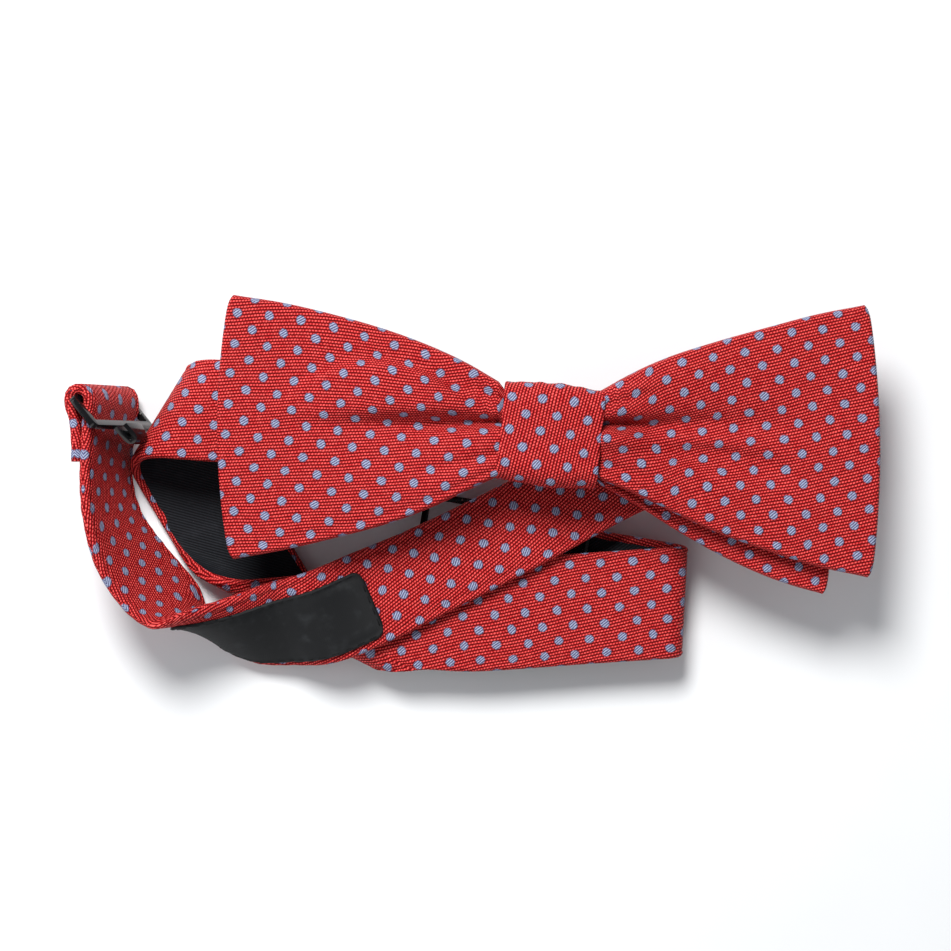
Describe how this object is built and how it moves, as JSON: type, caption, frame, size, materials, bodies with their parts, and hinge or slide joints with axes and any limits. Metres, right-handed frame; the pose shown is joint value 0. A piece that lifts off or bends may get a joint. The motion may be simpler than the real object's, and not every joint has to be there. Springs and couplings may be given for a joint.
{
  "type": "bow tie",
  "caption": "Pre-tied red silk bow tie with a woven polka dot, layered wings, a wrapped knot and an adjustable neckband with hook, eye and slide, coiled flat.",
  "frame": {"origin": "middle of the knot's flat back face, where the bow lies against a collar", "axes": "+X along the bow towards its right wing as seen from the front, +Y up the bow, +Z out of its front"},
  "size_m": [0.1518, 0.0701, 0.0259],
  "materials": {
    "silk": "red silk twill with woven pale blue dots",
    "twill_lining": "black satin twill",
    "canvas": "unbleached wool and cotton canvas",
    "thread": "dark red sewing thread",
    "satin": "black satin label, blank",
    "black_enamel": "glossy black enamel"
  },
  "bodies": {
    "bow_and_band": {"front_bow": "silk", "front_bow_interlining": "canvas", "back_bow": "silk", "back_bow_interlining": "canvas", "knot_wrap": "silk", "knot_padding": "canvas", "knot_seam": "thread", "label_band": "silk", "label_band_interlining": "canvas", "lined_band": "silk", "lined_band_lining": "twill_lining", "lined_band_interlining": "canvas", "label": "satin", "hook_end_tack": "thread"},
    "hook": {"hook": "black_enamel"},
    "eye": {"eye": "black_enamel"},
    "slide": {"slide": "black_enamel", "slide_tab": "silk"}
  },
  "joints": [
    {"name": "hook_pivot", "type": "hinge", "parent": "bow_and_band", "child": "hook", "pos_m": [-0.08413, 0.0066, -0.0004], "axis": [-0.3381, 0, 0.9411], "range_deg": [0, 20]},
    {"name": "eye_pivot", "type": "hinge", "parent": "bow_and_band", "child": "eye", "pos_m": [-0.01479, -0.02442, -0.009], "axis": [0.1685, 0.9857, 0], "range_deg": [-10, 10]},
    {"name": "slide_travel", "type": "slide", "parent": "bow_and_band", "child": "slide", "axis": [0.9857, -0.1685, 0], "range_m": [0, 0.01]}
  ]
}
